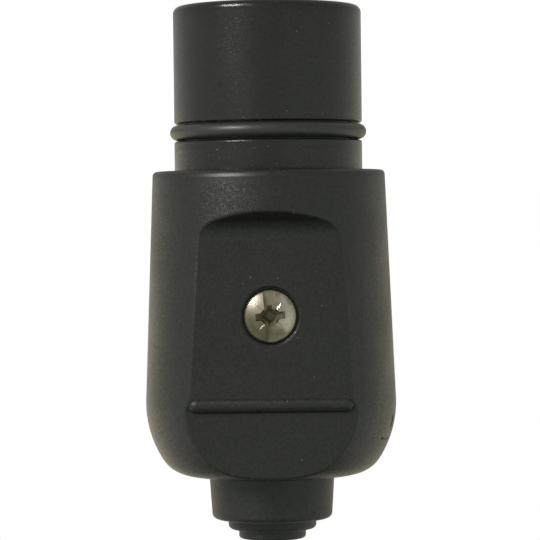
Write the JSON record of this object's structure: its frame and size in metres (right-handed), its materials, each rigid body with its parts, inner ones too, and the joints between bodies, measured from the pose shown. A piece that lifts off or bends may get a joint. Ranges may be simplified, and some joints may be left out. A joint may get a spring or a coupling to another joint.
{
  "type": "low voltage plug",
  "caption": "Two-pole low-voltage plug with a round protective collar, sealing ring, screwed two-part grip housing and stepped rubber cable gland.",
  "frame": {"origin": "centre of the collar's rim, which is the mating end and the face that the plug stands on", "axes": "+Z runs from the collar towards the cable gland, -Y is the side with the housing screw"},
  "size_m": [0.04, 0.0376, 0.0849],
  "materials": {
    "housing_plastic": "black moulded polyamide with a fine spark-eroded grain",
    "collar_plastic": "black moulded polyamide, fine grain",
    "gland_rubber": "black moulded rubber, smooth and dull",
    "ring_rubber": "black nitrile rubber, slight sheen",
    "contact_brass": "plain machined brass",
    "screw_steel": "nickel-plated steel, slightly dulled",
    "clamp_plastic": "dark grey moulded polyamide"
  },
  "bodies": {
    "root": {"collar": "collar_plastic", "sealing_ring": "ring_rubber", "front_shell": "housing_plastic", "rear_shell": "housing_plastic", "housing_screw": "screw_steel", "housing_nut": "screw_steel", "cable_gland": "gland_rubber", "cord_clamp": "clamp_plastic", "contact_left": "contact_brass", "contact_right": "contact_brass", "terminal_screw_left": "screw_steel", "terminal_screw_right": "screw_steel", "clamp_screw_left": "screw_steel", "clamp_screw_right": "screw_steel"}
  },
  "joints": []
}
